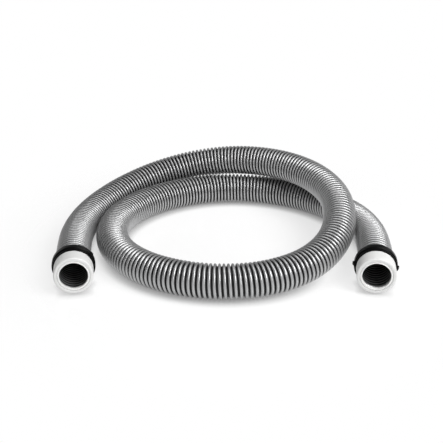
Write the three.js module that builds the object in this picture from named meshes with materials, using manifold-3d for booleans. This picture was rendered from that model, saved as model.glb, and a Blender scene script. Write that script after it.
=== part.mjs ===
// A household vacuum cleaner's suction hose, lying in one loose loop on a floor.
// Millimetres, +Z up, origin on the floor under the middle of the loop. Both open ends point
// towards -Y. Each end has a screw sleeve, a mouth bush inside it and a snap ring that turns on it.
import * as THREE from "three";
import { mergeVertices } from "three/addons/utils/BufferGeometryUtils.js";
import Module from "manifold-3d";

// The hose wall. The outer diameter is over the rib crests.
const HOSE_OUTER_DIAMETER = 39.6;
const HOSE_WALL = 3.8;

// The screw sleeve. It covers the hose's end and carries the snap ring at its rear.
const SLEEVE_LENGTH = 31;
const SLEEVE_WALL = 1.7;
const SLEEVE_FRONT_EDGE = 1.4;
const SLEEVE_REAR_EDGE = 0.5;
const SLEEVE_FRONT_WALL = 1.6;
const RING_SEAT_DEPTH = 0.5;
const SNAP_GROOVE_DEPTH = 0.7;
const SNAP_GROOVE_WIDTH = 3.2;

// The mouth bush. Its nose is the lip round the bore, a little narrower than the hose's own bore.
// Its flange is trapped in the sleeve.
const MOUTH_INSET = 0.3;
const NOSE_WALL = 1.5;
const NOSE_EDGE = 0.4;
const MOUTH_GROOVE_WIDTH = 0.9;
const MOUTH_GROOVE_DEPTH = 0.6;
const FLANGE_THICKNESS = 1.2;

// The snap ring. Its barbs click into the socket that the hose plugs into.
const RING_WIDTH = 11.5;
const RING_WALL = 2.6;
const RING_LIP_WALL = 1.4;
const RING_LIP_LENGTH = 3.6;
const RING_REAR_EDGE = 0.5;
const RING_SETBACK = 0.5;
const BARB_WIDTH = 4;
const BARB_HEIGHT = 1.7;
const BARB_SHOULDER_SETBACK = 4;
const BARB_CREST_LENGTH = 1;
const BARB_RAMP_LENGTH = 5.5;
const BARB_ROOT = 1.2;

// Clearances.
const HOSE_CLEARANCE = 0.3;
const RING_CLEARANCE = 0.3;
const SEAT_GAP = 0.3;

// How finely round shapes are cut, how tightly the hose's curve follows its route, and how close
// two points lie when they are one.
const TURNED_SIDES = 36;
const HOSE_SIDES = 12;
const HOSE_STEPS = 80;
const ROUTE_TENSION = 0.5;
const WELD_DISTANCE = 1e-4;

// The hose's centre line, from its left cut end to its right one. It runs back from the left
// end, over the lower pass at the back, down on the right, along the front, round the left turn,
// along the back on the floor, under the upper pass and forward to the right end.
const HOSE_ROUTE = [
  [-163.8, -142.1, 24.8],
  [-169.1, -111.3, 24.8],
  [-173.8, -83.7, 24.8],
  [-178.6, -33.8, 22.9],
  [-175, 16.1, 22],
  [-159.5, 63.2, 24.1],
  [-131, 103.5, 30.2],
  [-91.6, 132.8, 38.9],
  [-45, 147.7, 48.2],
  [4.2, 146.6, 55.9],
  [51.3, 130.3, 60.3],
  [92.5, 102, 61.3],
  [123.7, 64, 58.6],
  [141, 17.9, 52.9],
  [141.8, -31.7, 43.9],
  [127, -78.6, 34],
  [96.6, -116.5, 26],
  [54, -140.9, 21.8],
  [4.5, -149.1, 20.1],
  [-45.1, -140.6, 19.9],
  [-88.3, -116.3, 19.9],
  [-120, -78.4, 19.9],
  [-136.1, -31.3, 19.9],
  [-133.4, 18.7, 19.9],
  [-111.6, 63.9, 19.9],
  [-75.9, 99.5, 19.9],
  [-31.2, 122, 20],
  [18.1, 129.3, 19.9],
  [67.1, 120.8, 19.9],
  [111.4, 97.2, 19.9],
  [146.7, 60.9, 20.3],
  [169.5, 16.1, 22.4],
  [178.2, -32.8, 24.7],
  [176.1, -82.8, 26.2],
  [172.1, -110.5, 25.2],
  [167.8, -141.4, 24.1],
];

const HOSE_RADIUS = HOSE_OUTER_DIAMETER / 2;
const SLEEVE_BORE_RADIUS = HOSE_RADIUS + HOSE_CLEARANCE;
const SLEEVE_RADIUS = SLEEVE_BORE_RADIUS + SLEEVE_WALL;
const RING_SEAT_RADIUS = SLEEVE_RADIUS - RING_SEAT_DEPTH;
const SNAP_GROOVE_RADIUS = RING_SEAT_RADIUS - SNAP_GROOVE_DEPTH;
const MOUTH_RADIUS = HOSE_RADIUS - HOSE_WALL - MOUTH_INSET;
const NOSE_RADIUS = MOUTH_RADIUS + NOSE_WALL;
const SLEEVE_MOUTH_RADIUS = NOSE_RADIUS + MOUTH_GROOVE_WIDTH;
const RING_BORE_RADIUS = RING_SEAT_RADIUS + RING_CLEARANCE;
const RING_RADIUS = RING_BORE_RADIUS + RING_WALL;

// Places along an end's axis, measured outwards from the hose's cut end.
const FLANGE_BACK = SEAT_GAP;
const FLANGE_FRONT = FLANGE_BACK + FLANGE_THICKNESS;
const SLEEVE_SHOULDER = FLANGE_FRONT + SEAT_GAP;
const FRONT_FACE = SLEEVE_SHOULDER + SLEEVE_FRONT_WALL;
const SLEEVE_BACK = FRONT_FACE - SLEEVE_LENGTH;
const RING_BACK = SLEEVE_BACK + RING_SETBACK;
const RING_FRONT = RING_BACK + RING_WIDTH;
const SEAT_FRONT = RING_FRONT + SEAT_GAP;
const SNAP_MIDDLE = (RING_BACK + RING_FRONT) / 2;

const HOSE_FINISH = { color: 0x8c8e90, roughness: 0.35, metalness: 0.25 };
const WHITE_FINISH = { color: 0xe6e6e4, roughness: 0.45, metalness: 0 };
const BLACK_FINISH = { color: 0x0b0b0c, roughness: 0.4, metalness: 0 };

const wasm = await Module();
wasm.setup();

function makeMesh(name, geometry, finish) {
  const mesh = new THREE.Mesh(geometry, new THREE.MeshStandardMaterial(finish));
  mesh.name = name;
  return mesh;
}

function polygonPoints(sides, radius) {
  const points = [];
  for (let i = 0; i < sides; i += 1) {
    const angle = (2 * Math.PI * i) / sides;
    points.push(new THREE.Vector2(radius * Math.cos(angle), radius * Math.sin(angle)));
  }
  return points;
}

// A closed profile of [radius, place along the axis] pairs, turned about +Z.
function turnedSolid(profile) {
  const points = profile.map(([radius, place]) => new THREE.Vector2(radius, place));
  points.push(points[0].clone());
  const geometry = new THREE.LatheGeometry(points, TURNED_SIDES);
  geometry.rotateX(Math.PI / 2);
  return geometry;
}

function toSolid(geometry) {
  const bare = geometry.clone();
  bare.deleteAttribute("normal");
  bare.deleteAttribute("uv");
  const merged = mergeVertices(bare, WELD_DISTANCE);
  return new wasm.Manifold(
    new wasm.Mesh({
      numProp: 3,
      vertProperties: merged.attributes.position.array,
      triVerts: new Uint32Array(merged.index.array),
    }),
  );
}

function toGeometry(solid) {
  const mesh = solid.getMesh();
  const geometry = new THREE.BufferGeometry();
  geometry.setAttribute("position", new THREE.BufferAttribute(mesh.vertProperties, 3));
  geometry.setIndex(new THREE.BufferAttribute(mesh.triVerts, 1));
  geometry.computeVertexNormals();
  return geometry;
}

function makeHose() {
  const section = new THREE.Shape(polygonPoints(HOSE_SIDES, HOSE_RADIUS));
  section.holes.push(new THREE.Path(polygonPoints(HOSE_SIDES, HOSE_RADIUS - HOSE_WALL)));
  const centreLine = new THREE.CatmullRomCurve3(
    HOSE_ROUTE.map((point) => new THREE.Vector3(...point)),
    false,
    "catmullrom",
    ROUTE_TENSION,
  );
  return new THREE.ExtrudeGeometry(section, {
    steps: HOSE_STEPS,
    bevelEnabled: false,
    extrudePath: centreLine,
  });
}

// Open front with an inward wall round the mouth, a seat for the ring and the snap groove in it.
function makeSleeve() {
  const grooveBack = SNAP_MIDDLE - SNAP_GROOVE_WIDTH / 2;
  const grooveFront = SNAP_MIDDLE + SNAP_GROOVE_WIDTH / 2;
  return turnedSolid([
    [SLEEVE_BORE_RADIUS, SLEEVE_BACK],
    [RING_SEAT_RADIUS - SLEEVE_REAR_EDGE, SLEEVE_BACK],
    [RING_SEAT_RADIUS, SLEEVE_BACK + SLEEVE_REAR_EDGE],
    [RING_SEAT_RADIUS, grooveBack],
    [SNAP_GROOVE_RADIUS, grooveBack],
    [SNAP_GROOVE_RADIUS, grooveFront],
    [RING_SEAT_RADIUS, grooveFront],
    [RING_SEAT_RADIUS, SEAT_FRONT],
    [SLEEVE_RADIUS, SEAT_FRONT],
    [SLEEVE_RADIUS, FRONT_FACE - SLEEVE_FRONT_EDGE],
    [SLEEVE_RADIUS - SLEEVE_FRONT_EDGE, FRONT_FACE],
    [SLEEVE_MOUTH_RADIUS, FRONT_FACE],
    [SLEEVE_MOUTH_RADIUS, SLEEVE_SHOULDER],
    [SLEEVE_BORE_RADIUS, SLEEVE_SHOULDER],
  ]);
}

// A short tube whose nose stands in the mouth and whose stepped flange fills the sleeve's bore.
function makeMouthBush() {
  const flangeRadius = SLEEVE_BORE_RADIUS - SEAT_GAP;
  const stepRadius = SLEEVE_MOUTH_RADIUS - SEAT_GAP;
  const grooveFloor = FRONT_FACE - MOUTH_GROOVE_DEPTH;
  return turnedSolid([
    [MOUTH_RADIUS, FLANGE_BACK],
    [flangeRadius, FLANGE_BACK],
    [flangeRadius, FLANGE_FRONT],
    [stepRadius, FLANGE_FRONT],
    [stepRadius, grooveFloor],
    [NOSE_RADIUS, grooveFloor],
    [NOSE_RADIUS, FRONT_FACE - NOSE_EDGE],
    [NOSE_RADIUS - NOSE_EDGE, FRONT_FACE],
    [MOUTH_RADIUS, FRONT_FACE],
  ]);
}

// A wedge on the ring: a ramp that faces outwards along the axis and a square shoulder behind it.
function makeBarb(angle) {
  const foot = RING_RADIUS - BARB_ROOT;
  const tip = RING_RADIUS + BARB_HEIGHT;
  const shoulder = RING_BACK + BARB_SHOULDER_SETBACK;
  const outline = new THREE.Shape([
    new THREE.Vector2(foot, shoulder),
    new THREE.Vector2(tip, shoulder),
    new THREE.Vector2(tip, shoulder + BARB_CREST_LENGTH),
    new THREE.Vector2(foot, shoulder + BARB_RAMP_LENGTH),
  ]);
  const wedge = new THREE.ExtrudeGeometry(outline, { depth: BARB_WIDTH, bevelEnabled: false });
  wedge.translate(0, 0, -BARB_WIDTH / 2);
  wedge.rotateX(Math.PI / 2);
  wedge.rotateZ(angle);
  return toSolid(wedge);
}

// The ring with a thin front lip, an inner rib that runs in the sleeve's groove, and two barbs.
function makeSwivelRing(barbAngle) {
  const ribRadius = SNAP_GROOVE_RADIUS + RING_CLEARANCE;
  const ribBack = SNAP_MIDDLE - SNAP_GROOVE_WIDTH / 2 + RING_CLEARANCE;
  const ribFront = SNAP_MIDDLE + SNAP_GROOVE_WIDTH / 2 - RING_CLEARANCE;
  const lipRadius = RING_BORE_RADIUS + RING_LIP_WALL;
  const lipBack = RING_FRONT - RING_LIP_LENGTH;
  const body = turnedSolid([
    [RING_BORE_RADIUS, RING_BACK],
    [RING_RADIUS - RING_REAR_EDGE, RING_BACK],
    [RING_RADIUS, RING_BACK + RING_REAR_EDGE],
    [RING_RADIUS, lipBack - (RING_WALL - RING_LIP_WALL)],
    [lipRadius, lipBack],
    [lipRadius, RING_FRONT],
    [RING_BORE_RADIUS, RING_FRONT],
    [RING_BORE_RADIUS, ribFront],
    [ribRadius, ribFront],
    [ribRadius, ribBack],
    [RING_BORE_RADIUS, ribBack],
  ]);
  const barbs = makeBarb(barbAngle).add(makeBarb(barbAngle + Math.PI));
  return toGeometry(toSolid(body).add(barbs));
}

// A group at one of the hose's cut ends: +Z out along the hose's axis, +X level.
function makeEndFrame(cutEnd, nextPoint) {
  const out = new THREE.Vector3(...cutEnd).sub(new THREE.Vector3(...nextPoint)).normalize();
  const level = new THREE.Vector3(0, 0, 1).cross(out).normalize();
  const upright = out.clone().cross(level);
  const frame = new THREE.Group();
  frame.position.set(...cutEnd);
  frame.quaternion.setFromRotationMatrix(new THREE.Matrix4().makeBasis(level, upright, out));
  return frame;
}

function makeEnd(side, cutEnd, nextPoint, barbAngle) {
  const end = makeEndFrame(cutEnd, nextPoint);
  end.add(makeMesh(`${side}_sleeve`, makeSleeve(), WHITE_FINISH));
  end.add(makeMesh(`${side}_mouth_bush`, makeMouthBush(), WHITE_FINISH));
  end.add(makeMesh(`${side}_swivel_ring`, makeSwivelRing(barbAngle), BLACK_FINISH));
  return end;
}

// Where each ring happens to stand: the angle of its first barb from level.
const LEFT_BARB_ANGLE = THREE.MathUtils.degToRad(33);
const RIGHT_BARB_ANGLE = THREE.MathUtils.degToRad(-3);

const part = new THREE.Group();
part.add(makeMesh("hose_wall", makeHose(), HOSE_FINISH));
part.add(makeEnd("left", HOSE_ROUTE[0], HOSE_ROUTE[1], LEFT_BARB_ANGLE));
part.add(makeEnd("right", HOSE_ROUTE.at(-1), HOSE_ROUTE.at(-2), RIGHT_BARB_ANGLE));

export default part;
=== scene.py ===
# %% [markdown]
# A vacuum cleaner's suction hose lies in one loose loop on a pale floor. It is a wound, ribbed
# wall, and each open end carries a white screw sleeve, a white mouth bush and a black snap ring
# that swivels. The imported model is the fixed frame, and everything here is built around it in
# metres.

# %% Load the frame
import bisect
import math

import bmesh
import bpy
from mathutils import Matrix, Vector


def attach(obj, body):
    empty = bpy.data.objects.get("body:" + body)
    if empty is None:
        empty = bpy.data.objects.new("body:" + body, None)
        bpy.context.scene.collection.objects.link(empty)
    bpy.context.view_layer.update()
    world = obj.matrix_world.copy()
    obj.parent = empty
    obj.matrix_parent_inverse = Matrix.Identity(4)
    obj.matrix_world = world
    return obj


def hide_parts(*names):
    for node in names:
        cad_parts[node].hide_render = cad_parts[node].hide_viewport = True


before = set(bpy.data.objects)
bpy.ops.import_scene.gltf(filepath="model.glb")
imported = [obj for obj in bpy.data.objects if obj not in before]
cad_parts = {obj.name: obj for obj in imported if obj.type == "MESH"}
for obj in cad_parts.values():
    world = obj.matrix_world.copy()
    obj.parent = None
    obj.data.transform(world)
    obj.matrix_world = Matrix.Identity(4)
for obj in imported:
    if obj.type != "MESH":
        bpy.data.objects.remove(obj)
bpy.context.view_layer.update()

# %% [markdown]
# The camera stands in front of the two mouths, a little under a metre away, and looks down at
# the loop by 24 degrees. A lens of 61 mm on a 36 mm wide sensor keeps the perspective calm.

# %% Set up the camera
CAMERA_PLACE = (-0.00198, -0.87035, 0.4128)
CAMERA_PITCH = 24
LENS = 61.18
SENSOR_WIDTH = 36
camera = bpy.data.objects.new("camera", bpy.data.cameras.new("camera"))
bpy.context.collection.objects.link(camera)
camera.location = CAMERA_PLACE
camera.rotation_euler = (math.radians(90 - CAMERA_PITCH), 0, 0)
camera.data.lens = LENS
camera.data.sensor_width = SENSOR_WIDTH
bpy.context.scene.camera = camera
bpy.context.scene.view_settings.view_transform = "Standard"
print("camera looks down by", CAMERA_PITCH, "degrees")

# %% [markdown]
# A hose is as long as it is cut, and lies in one smooth curve. Its centre line goes through the
# same points as the frame's tube, from the left cut end to the right one, and a Catmull-Rom curve
# joins them. Even steps along it make the rib pitch the same everywhere, so that the ribs fan out
# by themselves on the outside of a bend and close up on its inside.

# %% Draw the hose's centre line
ROUTE = [
    (-0.1638, -0.1421, 0.0248), (-0.1691, -0.1113, 0.0248), (-0.1738, -0.0837, 0.0248),
    (-0.1786, -0.0338, 0.0229), (-0.175, 0.0161, 0.022), (-0.1595, 0.0632, 0.0241),
    (-0.131, 0.1035, 0.0302), (-0.0916, 0.1328, 0.0389), (-0.045, 0.1477, 0.0482),
    (0.0042, 0.1466, 0.0559), (0.0513, 0.1303, 0.0603), (0.0925, 0.102, 0.0613),
    (0.1237, 0.064, 0.0586), (0.141, 0.0179, 0.0529), (0.1418, -0.0317, 0.0439),
    (0.127, -0.0786, 0.034), (0.0966, -0.1165, 0.026), (0.054, -0.1409, 0.0218),
    (0.0045, -0.1491, 0.0201), (-0.0451, -0.1406, 0.0199), (-0.0883, -0.1163, 0.0199),
    (-0.12, -0.0784, 0.0199), (-0.1361, -0.0313, 0.0199), (-0.1334, 0.0187, 0.0199),
    (-0.1116, 0.0639, 0.0199), (-0.0759, 0.0995, 0.0199), (-0.0312, 0.122, 0.02),
    (0.0181, 0.1293, 0.0199), (0.0671, 0.1208, 0.0199), (0.1114, 0.0972, 0.0199),
    (0.1467, 0.0609, 0.0203), (0.1695, 0.0161, 0.0224), (0.1782, -0.0328, 0.0247),
    (0.1761, -0.0828, 0.0262), (0.1721, -0.1105, 0.0252), (0.1678, -0.1414, 0.0241),
]
STEPS_PER_SPAN = 40


def smooth_curve(points):
    points = [Vector(p) for p in points]
    padded = [2 * points[0] - points[1], *points, 2 * points[-1] - points[-2]]
    curve = []
    for p0, p1, p2, p3 in zip(padded, padded[1:], padded[2:], padded[3:]):
        start, end = (p2 - p0) / 2, (p3 - p1) / 2
        for step in range(STEPS_PER_SPAN):
            t = step / STEPS_PER_SPAN
            curve.append(
                (2 * t**3 - 3 * t**2 + 1) * p1 + (t**3 - 2 * t**2 + t) * start
                + (3 * t**2 - 2 * t**3) * p2 + (t**3 - t**2) * end
            )
    return [*curve, points[-1]]


centre_line = smooth_curve(ROUTE)
travelled = [0.0]
for a, b in zip(centre_line, centre_line[1:]):
    travelled.append(travelled[-1] + (b - a).length)
HOSE_LENGTH = travelled[-1]
print("hose length", round(HOSE_LENGTH, 4))


# %% Stand a square frame anywhere on the centre line
def place_at(distance):
    """The point at that distance and the directions along, sideways and up there."""
    distance = min(max(distance, 0.0), HOSE_LENGTH)
    i = min(max(bisect.bisect_left(travelled, distance) - 1, 0), len(travelled) - 2)
    share = (distance - travelled[i]) / (travelled[i + 1] - travelled[i])
    point = centre_line[i].lerp(centre_line[i + 1], share)
    before, after = centre_line[max(i - 1, 0)], centre_line[min(i + 2, len(centre_line) - 1)]
    here = (centre_line[i + 1] - before).normalized()
    there = (after - centre_line[i]).normalized()
    along = here.lerp(there, share).normalized()
    side = along.cross(Vector((0, 0, 1))).normalized()
    return point, along, side, side.cross(along)


print("half way along", [round(x, 3) for x in place_at(HOSE_LENGTH / 2)[0]])

# %% [markdown]
# The wall is one plastic strip, wound into a left-handed helix and welded edge to edge, and each
# turn is one rib with a broad round crest and a narrow deep valley. Rings at even steps would cut
# across the slanting ribs and make them ragged. So the mesh is wound as the real strip is: it
# advances by one pitch a turn, each row of vertices is the strip's profile, and a row's last
# edge is the first edge of the row one turn later. The inner skin is wound the same way with its
# faces turned round, and both meet in a flat ring at each cut end. One fault is still open: the
# left-handed winding leaves every face of this closed shell looking into the wall, not out of it.

# %% Measure the strip
HOSE_DIAMETER = 0.0396
RIB_DEPTH = 0.0033
HOSE_RADIUS = HOSE_DIAMETER / 2
TURNS = 325
SIDES = 32
CUT_MARGIN = 0.0008
PITCH = (HOSE_LENGTH - 2 * CUT_MARGIN) / (TURNS + 1)
OUTER_PROFILE = [(0, -RIB_DEPTH), (0.14, -0.0026), (0.22, -0.0007), (0.38, 0), (0.62, 0),
                 (0.78, -0.0007), (0.86, -0.0026)]
INNER_RIDGE, INNER_GROOVE = -0.0038, -0.0012
INNER_PROFILE = [(0, INNER_RIDGE), (0.5, INNER_GROOVE)]
print("rib pitch", round(PITCH * 1000, 3), "mm over", TURNS + 1, "ribs")


# %% Wind one skin
def wind_skin(profile, groove, crest, vertices, coordinates):
    """Adds a wound skin's vertices. Gives its faces and the rings at its two cut ends."""
    rows = TURNS * SIDES
    index = {}

    def add(row, share, depth, distance):
        point, along, side, up = place_at(distance)
        angle = -2 * math.pi * row / SIDES
        outward = side * math.cos(angle) + up * math.sin(angle)
        vertices.append(point + outward * (HOSE_RADIUS + depth))
        coordinates.append((row / SIDES, share, (depth - groove) / (crest - groove)))
        return len(vertices) - 1

    for row in range(rows + SIDES + 1):
        for j, (share, depth) in enumerate(profile):
            if j == 0 or row <= rows:
                distance = CUT_MARGIN + PITCH * (row / SIDES + share)
                index[row, j] = add(row, share, depth, distance)
    last = len(profile)
    for row in range(rows + 1):
        index[row, last] = index[row + SIDES, 0]
    faces = [
        (index[row, j], index[row, j + 1], index[row + 1, j + 1], index[row + 1, j])
        for row in range(rows)
        for j in range(last)
    ]
    valley = profile[0][1]
    first = [add(k, 0, valley, 0) for k in range(SIDES)]
    final = [add(rows + k, 0, valley, HOSE_LENGTH) for k in range(SIDES)]
    for k in range(SIDES):
        n = (k + 1) % SIDES
        faces.append((first[k], index[k, 0], index[k + 1, 0], first[n]))
        faces.append((index[rows + k, 0], final[k], final[n], index[rows + k + 1, 0]))
    faces.append((first[0], *[index[0, j] for j in range(last, -1, -1)]))
    faces.append((final[0], *[index[rows, j] for j in range(last + 1)]))
    return faces, first, final


print("outer skin", TURNS * SIDES, "rows of", len(OUTER_PROFILE), "points")


# %% Wind the hose
def wind_hose():
    vertices, coordinates = [], []
    faces, outer_first, outer_final = wind_skin(
        OUTER_PROFILE, -RIB_DEPTH, 0, vertices, coordinates)
    inner, inner_first, inner_final = wind_skin(
        INNER_PROFILE, INNER_GROOVE, INNER_RIDGE, vertices, coordinates)
    faces += [tuple(reversed(face)) for face in inner]
    for k in range(SIDES):
        n = (k + 1) % SIDES
        faces.append((outer_first[k], outer_first[n], inner_first[n], inner_first[k]))
        faces.append((outer_final[n], outer_final[k], inner_final[k], inner_final[n]))
    mesh = bpy.data.meshes.new("ribbed_hose")
    mesh.from_pydata(vertices, [], faces)
    wound = mesh.attributes.new("wound", "FLOAT_VECTOR", "POINT")
    wound.data.foreach_set("vector", [value for row in coordinates for value in row])
    mesh.shade_smooth()
    piece = bpy.data.objects.new("ribbed_hose", mesh)
    bpy.context.collection.objects.link(piece)
    return piece


ribbed_hose = wind_hose()
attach(ribbed_hose, "hose")
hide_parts("hose_wall")
hose_triangles = sum(len(face.vertices) - 2 for face in ribbed_hose.data.polygons)
print("ribbed hose", hose_triangles, "triangles")

# %% [markdown]
# Both ends carry the same fittings, so each fitting is modelled lying along +Z with the cut end
# of the hose at the origin, and is then put on the left and on the right end. The hose is straight
# inside its sleeve, so the end's own axis is the line through the last two points of the route.


# %% Find the two ends
def end_matrix(cut_end, next_point):
    cut_end, next_point = Vector(cut_end), Vector(next_point)
    out = (cut_end - next_point).normalized()
    level = Vector((0, 0, 1)).cross(out).normalized()
    upright = out.cross(level)
    turned = Matrix((level, upright, out)).transposed().to_4x4()
    return Matrix.Translation(cut_end) @ turned


END = {"left": end_matrix(ROUTE[0], ROUTE[1]), "right": end_matrix(ROUTE[-1], ROUTE[-2])}
print("left end points to", [round(x, 3) for x in END["left"].col[2][:3]])


# %% [markdown]
# A turned shape starts as a circle primitive. The ring of edges is extruded along the axis and
# resized, profile point by profile point, and at the end the last ring is bridged to the first
# one, which closes the wall. The small chamfers and round corners are points of the profile too,
# because a moulded edge is never quite sharp, and a soft edge catches the light.

# %% Select and apply
def start_clean():
    bpy.ops.object.select_all(action="DESELECT")


def select_edges(piece, wanted):
    bpy.ops.mesh.select_mode(type="EDGE")
    bpy.ops.mesh.select_all(action="DESELECT")
    edit = bmesh.from_edit_mesh(piece.data)
    for edge in edit.edges:
        edge.select = wanted(edge)
    edit.select_flush_mode()
    bmesh.update_edit_mesh(piece.data)


def apply_all(piece):
    start_clean()
    bpy.context.view_layer.objects.active = piece
    piece.select_set(True)
    for modifier in list(piece.modifiers):
        bpy.ops.object.modifier_apply(modifier=modifier.name)
    bpy.ops.object.transform_apply(location=True, rotation=True, scale=True)


start_clean()
print("selected", len(bpy.context.selected_objects), "objects")


# %% Turn a closed profile
TURNED_SIDES = 96
SMOOTH_ANGLE = 40


def turned_piece(name, profile):
    start_clean()
    radius, place = profile[0]
    bpy.ops.mesh.primitive_circle_add(vertices=TURNED_SIDES, radius=radius, location=(0, 0, place))
    piece = bpy.context.object
    piece.name = piece.data.name = name
    bpy.ops.object.mode_set(mode="EDIT")
    bpy.ops.mesh.select_all(action="SELECT")
    for (r0, w0), (r1, w1) in zip(profile, profile[1:]):
        bpy.ops.mesh.extrude_region_move(TRANSFORM_OT_translate={"value": (0, 0, w1 - w0)})
        if r1 != r0:
            bpy.ops.transform.resize(value=(r1 / r0, r1 / r0, 1))
    select_edges(piece, lambda edge: edge.is_boundary)
    bpy.ops.mesh.bridge_edge_loops()
    bpy.ops.mesh.select_all(action="SELECT")
    bpy.ops.mesh.normals_make_consistent(inside=False)
    bpy.ops.object.mode_set(mode="OBJECT")
    apply_all(piece)
    return piece


def rounded_corner(centre, radius, start, end, steps=6):
    """Points of an arc in the profile. Zero degrees points away from the axis, 90 outwards."""
    angles = [math.radians(start + (end - start) * i / steps) for i in range(steps + 1)]
    return [(centre[0] + radius * math.cos(a), centre[1] + radius * math.sin(a)) for a in angles]


def put_on_end(piece, side):
    piece.matrix_world = END[side] @ piece.matrix_world
    apply_all(piece)
    start_clean()
    piece.select_set(True)
    bpy.ops.object.shade_smooth_by_angle(angle=math.radians(SMOOTH_ANGLE))


print("turned pieces have", TURNED_SIDES, "sides")

# %% [markdown]
# The sleeve screws onto the hose. Its front is a flat ring with a soft outer edge, and behind
# the barrel lies the lower seat on which the snap ring turns. It is the same all round, so one
# turned profile makes it. The first two rows of values are radii, the others are places along
# the end's own axis, counted from the cut end of the hose, in metres.

# %% Model the sleeves
BORE, SEAT, GROOVE, BARREL = 0.0201, 0.0213, 0.0206, 0.0218
SLEEVE_MOUTH = 0.0181
FRONT, SHOULDER, BACK = 0.0034, 0.0018, -0.0276
SNAP_MIDDLE, SNAP_HALF = -0.02135, 0.0016
SEAT_FRONT = -0.0153
EDGE_RADIUS = 0.0016
CHAMFER, BARREL_CHAMFER = 0.0003, 0.0002


def make_sleeve(side):
    barrel_front = (BARREL - EDGE_RADIUS, FRONT - EDGE_RADIUS)
    piece = turned_piece(f"{side}_screw_sleeve", [
        (BORE, BACK), (SEAT - CHAMFER, BACK), (SEAT, BACK + CHAMFER),
        (SEAT, SNAP_MIDDLE - SNAP_HALF), (GROOVE, SNAP_MIDDLE - SNAP_HALF),
        (GROOVE, SNAP_MIDDLE + SNAP_HALF), (SEAT, SNAP_MIDDLE + SNAP_HALF),
        (SEAT, SEAT_FRONT), (BARREL - BARREL_CHAMFER, SEAT_FRONT),
        (BARREL, SEAT_FRONT + BARREL_CHAMFER),
        *rounded_corner(barrel_front, EDGE_RADIUS, 0, 90),
        (SLEEVE_MOUTH + CHAMFER, FRONT), (SLEEVE_MOUTH, FRONT - CHAMFER),
        (SLEEVE_MOUTH, SHOULDER), (BORE, SHOULDER),
    ])
    put_on_end(piece, side)
    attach(piece, "hose")
    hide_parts(f"{side}_sleeve")
    return piece


sleeves = {side: make_sleeve(side) for side in END}
print("sleeve", len(sleeves["left"].data.polygons), "faces")

# %% [markdown]
# The mouth bush is a short tube. Its nose stands in the middle of the sleeve's front as a bright
# lip with a round rim, and a narrow groove is left between the two. Its flange sits behind the
# sleeve's front wall and is kept there by the hose. It is turned like the sleeve.

# %% Model the mouth bushes
MOUTH, NOSE = 0.0157, 0.0172
FLANGE_BACK, FLANGE_FRONT, SEAT_GAP = 0.0003, 0.0015, 0.0003
GROOVE_FLOOR = FRONT - 0.0006
RIM_RADIUS = 0.0005


def make_bush(side):
    rim_outer = (NOSE - RIM_RADIUS, FRONT - RIM_RADIUS)
    rim_inner = (MOUTH + RIM_RADIUS, FRONT - RIM_RADIUS)
    piece = turned_piece(f"{side}_lip_bush", [
        (MOUTH, FLANGE_BACK), (BORE - SEAT_GAP, FLANGE_BACK), (BORE - SEAT_GAP, FLANGE_FRONT),
        (SLEEVE_MOUTH - SEAT_GAP, FLANGE_FRONT), (SLEEVE_MOUTH - SEAT_GAP, GROOVE_FLOOR),
        (NOSE, GROOVE_FLOOR), *rounded_corner(rim_outer, RIM_RADIUS, 0, 90, 4),
        *rounded_corner(rim_inner, RIM_RADIUS, 90, 180, 4),
    ])
    put_on_end(piece, side)
    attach(piece, "hose")
    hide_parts(f"{side}_mouth_bush")
    return piece


bushes = {side: make_bush(side) for side in END}
print("bush", len(bushes["left"].data.polygons), "faces")

# %% [markdown]
# The snap ring is one black moulding. It is thick at the back and slopes down to a thin front
# lip, its inner rib runs in the sleeve's groove, and two wedge-shaped barbs stand on it. A barb
# starts as a cube, its top front edge is moved down into the ring to make the ramp, and a bevel
# softens it. A boolean union makes ring and barbs one body, as they come out of one mould.

# %% Measure the snap ring
RING_BORE, RING_OUTER, RING_LIP, RIB_INNER = 0.0216, 0.0242, 0.023, 0.0209
RING_BACK, RING_FRONT = -0.0271, -0.0156
LIP_BACK = RING_FRONT - 0.0036
RIB_HALF = SNAP_HALF - 0.0003
REAR_EDGE = 0.0005
print("ring", round((RING_FRONT - RING_BACK) * 1000, 1), "mm long")

# %% Model a barb
BARB_WIDTH, BARB_TOP, BARB_FOOT = 0.004, 0.0259, 0.023
BARB_BACK, BARB_FRONT = -0.0231, -0.0176
BARB_CREST, BARB_SINK, BARB_EDGE = 0.001, 0.0002, 0.00025
SOFTENED_ABOVE = 35
HAIRS_BREADTH = 1e-5


def soften(piece, width, segments):
    bevel = piece.modifiers.new("softened_edges", "BEVEL")
    bevel.width = width
    bevel.segments = segments
    bevel.limit_method = "ANGLE"
    bevel.angle_limit = math.radians(SOFTENED_ABOVE)
    apply_all(piece)


def make_barb(angle):
    start_clean()
    middle = ((BARB_TOP + BARB_FOOT) / 2, 0, (BARB_BACK + BARB_FRONT) / 2)
    bpy.ops.mesh.primitive_cube_add(size=1, location=middle)
    barb = bpy.context.object
    barb.scale = (BARB_TOP - BARB_FOOT, BARB_WIDTH, BARB_FRONT - BARB_BACK)
    apply_all(barb)
    bpy.ops.object.mode_set(mode="EDIT")
    bpy.ops.mesh.select_mode(type="EDGE")
    bpy.ops.mesh.select_all(action="SELECT")
    bpy.ops.mesh.bisect(plane_co=(0, 0, BARB_BACK + BARB_CREST), plane_no=(0, 0, 1))
    front, top = BARB_FRONT - HAIRS_BREADTH, BARB_TOP - HAIRS_BREADTH
    select_edges(barb, lambda edge: all(v.co.z > front and v.co.x > top for v in edge.verts))
    bpy.ops.transform.translate(value=(RING_OUTER - BARB_SINK - BARB_TOP, 0, 0))
    bpy.ops.object.mode_set(mode="OBJECT")
    soften(barb, width=BARB_EDGE, segments=2)
    barb.matrix_world = Matrix.Rotation(math.radians(angle), 4, "Z")
    apply_all(barb)
    return barb


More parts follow.
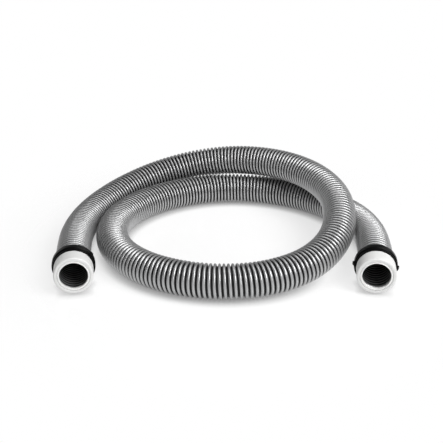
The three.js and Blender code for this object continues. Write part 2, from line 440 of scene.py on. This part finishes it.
print("a barb stands", round((BARB_TOP - RING_OUTER) * 1000, 1), "mm out of its ring")

# %% Model the snap rings
BARB_ANGLES = {"left": (33, 213), "right": (-3, 177)}


def make_ring(side):
    slope = RING_OUTER - RING_LIP
    rear_corner = (RING_OUTER - REAR_EDGE, RING_BACK + REAR_EDGE)
    piece = turned_piece(f"{side}_snap_ring", [
        (RING_BORE, RING_BACK), (RING_OUTER - REAR_EDGE, RING_BACK),
        *rounded_corner(rear_corner, REAR_EDGE, -60, 0, 3),
        (RING_OUTER, LIP_BACK - slope), (RING_LIP, LIP_BACK),
        (RING_LIP, RING_FRONT - CHAMFER), (RING_LIP - CHAMFER, RING_FRONT),
        (RING_BORE, RING_FRONT), (RING_BORE, SNAP_MIDDLE + RIB_HALF),
        (RIB_INNER, SNAP_MIDDLE + RIB_HALF), (RIB_INNER, SNAP_MIDDLE - RIB_HALF),
        (RING_BORE, SNAP_MIDDLE - RIB_HALF),
    ])
    for angle in BARB_ANGLES[side]:
        barb = make_barb(angle)
        union = piece.modifiers.new("moulded_in_one", "BOOLEAN")
        union.operation, union.solver, union.object = "UNION", "EXACT", barb
        apply_all(piece)
        bpy.data.objects.remove(barb)
    put_on_end(piece, side)
    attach(piece, f"{side}_ring")
    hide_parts(f"{side}_swivel_ring")
    return piece


rings = {side: make_ring(side) for side in END}
print("ring", len(rings["left"].data.polygons), "faces")

# %% [markdown]
# The centre line is sampled at even steps along the hose's whole length.

PATH_STEPS = 330
path = [place_at(HOSE_LENGTH * i / PATH_STEPS)[0] for i in range(PATH_STEPS + 1)]
print("declared a hose of", round(HOSE_LENGTH, 3), "m")

# %% [markdown]
# Moulded plastic is never perfectly even. A fine grain lets it shine softly, and a slow cloudy
# variation changes its gloss from place to place. Both are wanted on every piece, with other
# sizes and strengths, so they are one node group that puts out a height and a cloud mask.


# %% Make the grain group
def make_grain_group():
    group = bpy.data.node_groups.new("moulded_grain", "ShaderNodeTree")
    sockets = group.interface
    sockets.new_socket("Grain Size", in_out="INPUT", socket_type="NodeSocketFloat")
    sockets.new_socket("Cloud Size", in_out="INPUT", socket_type="NodeSocketFloat")
    sockets.new_socket("Height", in_out="OUTPUT", socket_type="NodeSocketFloat")
    sockets.new_socket("Cloud", in_out="OUTPUT", socket_type="NodeSocketFloat")
    nodes, links = group.nodes, group.links
    given, result = nodes.new("NodeGroupInput"), nodes.new("NodeGroupOutput")
    place = nodes.new("ShaderNodeTexCoord")
    for size, output, detail in (("Grain Size", "Height", 3), ("Cloud Size", "Cloud", 4)):
        over = nodes.new("ShaderNodeMath")
        over.operation = "DIVIDE"
        over.inputs[0].default_value = 1
        links.new(given.outputs[size], over.inputs[1])
        noise = nodes.new("ShaderNodeTexNoise")
        noise.inputs["Detail"].default_value = detail
        links.new(place.outputs["Object"], noise.inputs["Vector"])
        links.new(over.outputs[0], noise.inputs["Scale"])
        links.new(noise.outputs["Fac"], result.inputs[output])
    return group


grain_group = make_grain_group()
print("group", grain_group.name)

# %% [markdown]
# Every finish is one Principled shader with a few nodes before it. A small class keeps a finish
# together, so that the cells below say what a surface is made of, and not how nodes are joined.

# %% Wire a material
CLOUD_GLOSSIER, CLOUD_DULLER = 0.04, 0.05


class Finish:
    """A material with its shader, and short ways to add nodes to it."""

    def __init__(self, name):
        self.material = bpy.data.materials.new(name)
        self.material.use_nodes = True
        self.nodes = self.material.node_tree.nodes
        self.links = self.material.node_tree.links
        self.shader = self.nodes["Principled BSDF"]

    def node(self, kind, **settings):
        made = self.nodes.new(kind)
        for key, value in settings.items():
            setattr(made, key, value)
        return made

    def feed(self, socket, source):
        if hasattr(source, "links"):
            self.links.new(source, socket)
        else:
            socket.default_value = source

    def math(self, operation, a, b):
        made = self.node("ShaderNodeMath", operation=operation)
        self.feed(made.inputs[0], a)
        self.feed(made.inputs[1], b)
        return made.outputs[0]

    def between(self, share, low, high):
        made = self.node("ShaderNodeMapRange")
        self.feed(made.inputs["Value"], share)
        self.feed(made.inputs["To Min"], low)
        self.feed(made.inputs["To Max"], high)
        return made.outputs["Result"]

    def clear_of(self, value, low, high):
        made = self.node("ShaderNodeMapRange", interpolation_type="SMOOTHSTEP")
        self.feed(made.inputs["Value"], value)
        self.feed(made.inputs["From Min"], low)
        self.feed(made.inputs["From Max"], high)
        return made.outputs["Result"]

    def mix(self, share, a, b):
        made = self.node("ShaderNodeMix", data_type="RGBA")
        self.feed(made.inputs["Factor"], share)
        self.feed(made.inputs["A"], a)
        self.feed(made.inputs["B"], b)
        return made.outputs["Result"]

    def grain(self, grain_size, cloud_size):
        made = self.node("ShaderNodeGroup", node_tree=grain_group)
        self.feed(made.inputs["Grain Size"], grain_size)
        self.feed(made.inputs["Cloud Size"], cloud_size)
        return made.outputs["Height"], made.outputs["Cloud"]

    def cloudy_gloss(self, cloud, roughness):
        """A roughness that drifts a little with the cloud."""
        return self.between(cloud, roughness - CLOUD_GLOSSIER, roughness + CLOUD_DULLER)

    def bump(self, height, depth, strength):
        made = self.node("ShaderNodeBump")
        self.feed(made.inputs["Height"], height)
        made.inputs["Distance"].default_value = depth
        made.inputs["Strength"].default_value = strength
        self.links.new(made.outputs["Normal"], self.shader.inputs["Normal"])

    def set(self, **values):
        for key, value in values.items():
            self.feed(self.shader.inputs[key.replace("_", " ")], value)


print("roughness drifts by", CLOUD_GLOSSIER + CLOUD_DULLER)


# %% Paint pieces
def paint(finish, pieces):
    for piece in pieces:
        piece.data.materials.clear()
        piece.data.materials.append(finish.material)
    print("painted with", finish.material.name)


# %% [markdown]
# The hose is silver grey plastic with a satin shine, inside as well as outside. The strip
# carries fine lines along its winding from the extruder's lips. Its valleys, and the grooves of
# the bore, are painted near black, a painted shade for their depth. The lines and the painted
# shade read the strip's own coordinates, turn, share of a turn and rise, so that they follow the
# winding round every bend.

# %% Finish the hose
STRIP_GRAIN, STRIP_CLOUD = 0.0006, 0.04
LINE_BREAKS, LINE_COUNT = 1.5, 26.0
# Below the first rise the valleys carry the full painted shade, above the second none.
PAINTED_SHADE_BELOW, NO_PAINTED_SHADE_ABOVE = 0.45, 0.95


def strip_plastic(name, low, high, painted_valley_shade, metallic, roughness):
    finish = Finish(name)
    wound = finish.node("ShaderNodeAttribute", attribute_name="wound").outputs["Vector"]
    parts = finish.node("ShaderNodeSeparateXYZ")
    finish.links.new(wound, parts.inputs[0])
    turn, share, rise = parts.outputs
    height, cloud = finish.grain(STRIP_GRAIN, STRIP_CLOUD)
    line_place = finish.node("ShaderNodeCombineXYZ")
    finish.feed(line_place.inputs[0], finish.math("MULTIPLY", turn, LINE_BREAKS))
    finish.feed(line_place.inputs[1], finish.math("MULTIPLY", share, LINE_COUNT))
    lines = finish.node("ShaderNodeTexNoise")
    finish.links.new(line_place.outputs[0], lines.inputs["Vector"])
    lines.inputs["Scale"].default_value = 1
    lines.inputs["Detail"].default_value = 2
    tone = finish.mix(cloud, (*low, 1), (*high, 1))
    # Low rise, in the outer valleys and the bore's grooves, is painted near black: painted shade.
    valley_shade_share = finish.between(finish.clear_of(rise, PAINTED_SHADE_BELOW, NO_PAINTED_SHADE_ABOVE), 1.0, 0.0)
    finish.set(
        Base_Color=finish.mix(valley_shade_share, tone, (*painted_valley_shade, 1)),
        Metallic=metallic,
        Roughness=finish.cloudy_gloss(cloud, roughness),
    )
    relief = finish.math("ADD", height, lines.outputs["Fac"])
    finish.bump(relief, depth=0.00004, strength=0.5)
    return finish


# The third, near-black colour is the painted shade of the valleys and bore grooves.
silver = strip_plastic(
    "satin_silver_plastic", low=(0.39, 0.392, 0.395), high=(0.46, 0.462, 0.465),
    painted_valley_shade=(0.022, 0.022, 0.0225), metallic=0.7, roughness=0.35,
)
paint(silver, [ribbed_hose])

# %% [markdown]
# Sleeves and bushes are the same white plastic. The bushes are painted a shade brighter, a painted
# highlight for the lit lip round each bore, and are glossier.

# %% Finish the white fittings
WHITE_GRAIN, WHITE_CLOUD = 0.0004, 0.012
CLOUD_SHADE = 0.97


def white_plastic(name, colour, roughness):
    finish = Finish(name)
    height, cloud = finish.grain(WHITE_GRAIN, WHITE_CLOUD)
    shaded = [channel * CLOUD_SHADE for channel in colour]
    finish.set(
        Base_Color=finish.mix(cloud, (*shaded, 1), (*colour, 1)),
        Roughness=finish.cloudy_gloss(cloud, roughness),
    )
    finish.bump(height, depth=0.00002, strength=0.4)
    return finish


sleeve_white = white_plastic("white_sleeve_plastic", colour=(0.72, 0.72, 0.713), roughness=0.4)
# The bushes' lighter white is a painted highlight on the lip round each bore.
bush_white_painted_highlight = white_plastic("white_bush_plastic_painted_highlight", colour=(0.84, 0.84, 0.83), roughness=0.3)
paint(sleeve_white, sleeves.values())
paint(bush_white_painted_highlight, bushes.values())

# %% [markdown]
# The snap rings are black plastic with a fine satin. The black goes all through, so the colour
# hardly changes, and a low specular level keeps the rings dark under the lamps.

# %% Finish the rings
RING_GRAIN, RING_CLOUD = 0.0004, 0.01
DEEP_BLACK, SOFT_BLACK = (0.002, 0.002, 0.0021, 1), (0.004, 0.004, 0.0042, 1)
black = Finish("black_ring_plastic")
height, cloud = black.grain(RING_GRAIN, RING_CLOUD)
black.set(
    Base_Color=black.mix(cloud, DEEP_BLACK, SOFT_BLACK),
    Roughness=black.between(cloud, 0.28, 0.38),
    Specular_IOR_Level=0.06,
)
black.bump(height, depth=0.00002, strength=0.5)
paint(black, rings.values())

# %% [markdown]
# The floor is a white sheet, lit from below as a light table is, with a faint gloss that mirrors
# the hose softly. Its glow is dimmed where something lies close on it, a painted contact shadow.
# Far from the hose it fades out into the white surroundings, so that no horizon shows.

# %% Lay the floor
FLOOR_SIZE = 8
# Within this reach of the hose the floor's glow drops towards the lower value: a painted contact
# shadow.
SHADE_REACH, GLOW_IN_PAINTED_SHADE, GLOW_CLEAR_OF_PAINTED_SHADE = 0.011, 0.2, 0.69
FADE_FROM, FADE_TO = 0.17, 0.35
start_clean()
bpy.ops.mesh.primitive_plane_add(size=FLOOR_SIZE, location=(0, 0, 0))
floor = bpy.context.object
floor.name = "floor"
floor_finish = Finish("white_floor")
# Ambient occlusion dims the floor's glow under and beside the hose, a painted contact shadow.
painted_contact_shade = floor_finish.node("ShaderNodeAmbientOcclusion", samples=8)
painted_contact_shade.inputs["Distance"].default_value = SHADE_REACH
floor_finish.set(
    Base_Color=(0.31, 0.31, 0.31, 1),
    Roughness=0.25,
    Emission_Color=(1, 1, 1, 1),
    Emission_Strength=floor_finish.between(painted_contact_shade.outputs["AO"], GLOW_IN_PAINTED_SHADE, GLOW_CLEAR_OF_PAINTED_SHADE),
)
floor_place = floor_finish.node("ShaderNodeTexCoord").outputs["Object"]
from_middle = floor_finish.node("ShaderNodeVectorMath", operation="LENGTH")
floor_finish.links.new(floor_place, from_middle.inputs[0])
far = floor_finish.clear_of(from_middle.outputs["Value"], FADE_FROM, FADE_TO)
floor_finish.set(Alpha=floor_finish.between(far, 1.0, 0.0))
paint(floor_finish, [floor])
print("floor laid,", FLOOR_SIZE, "m wide")

# %% [markdown]
# Three soft lights are enough. A broad one hangs over the loop, a strong one at the front right
# draws the shine along the ribs, and a small low one in front reaches into the two bores.

# %% Set the lights
def soft_light(name, place, target, size, power):
    data = bpy.data.lights.new(name, "AREA")
    data.shape = "RECTANGLE"
    data.size, data.size_y = size
    data.energy = power
    light = bpy.data.objects.new(name, data)
    bpy.context.collection.objects.link(light)
    light.location = place
    aim = Vector(target) - Vector(place)
    light.rotation_euler = aim.to_track_quat("-Z", "Y").to_euler()
    print(name, "light of", power, "W")


soft_light("overhead", place=(0.0, 0.1, 1.4), target=(0, 0, 0), size=(1.2, 0.9), power=9)
soft_light("front_right", place=(0.9, -0.75, 1.12), target=(0, 0, 0), size=(0.9, 0.9), power=22)
soft_light("low_front", place=(0.25, -1.2, 0.5), target=(0, -0.15, 0.02), size=(0.3, 0.3), power=2)

# %% [markdown]
# The dome around the lights looks white to the camera, but what the satin plastic mirrors is
# bright only near the horizon and dark above, as in a studio with a dark ceiling. That gives the
# ribs their strong contrast.

# %% Set the surroundings
SKY_BANDS = [(0.05, 0.75), (0.4, 0.06)]
world = bpy.data.worlds.new("studio")
bpy.context.scene.world = world
world.use_nodes = True
sky = world.node_tree
dome = sky.nodes["Background"]
direction = sky.nodes.new("ShaderNodeTexCoord").outputs["Generated"]
height_of = sky.nodes.new("ShaderNodeSeparateXYZ")
sky.links.new(direction, height_of.inputs[0])
bands = sky.nodes.new("ShaderNodeValToRGB")
sky.links.new(height_of.outputs["Z"], bands.inputs["Fac"])
for stop, (height_share, grey) in zip(bands.color_ramp.elements, SKY_BANDS):
    stop.position = height_share
    stop.color = (grey, grey, grey, 1)
seen = sky.nodes.new("ShaderNodeLightPath").outputs["Is Camera Ray"]
choice = sky.nodes.new("ShaderNodeMix")
choice.data_type = "RGBA"
sky.links.new(seen, choice.inputs["Factor"])
sky.links.new(bands.outputs["Color"], choice.inputs["A"])
choice.inputs["B"].default_value = (1, 1, 1, 1)
sky.links.new(choice.outputs["Result"], dome.inputs["Color"])
print("sky bands", SKY_BANDS)
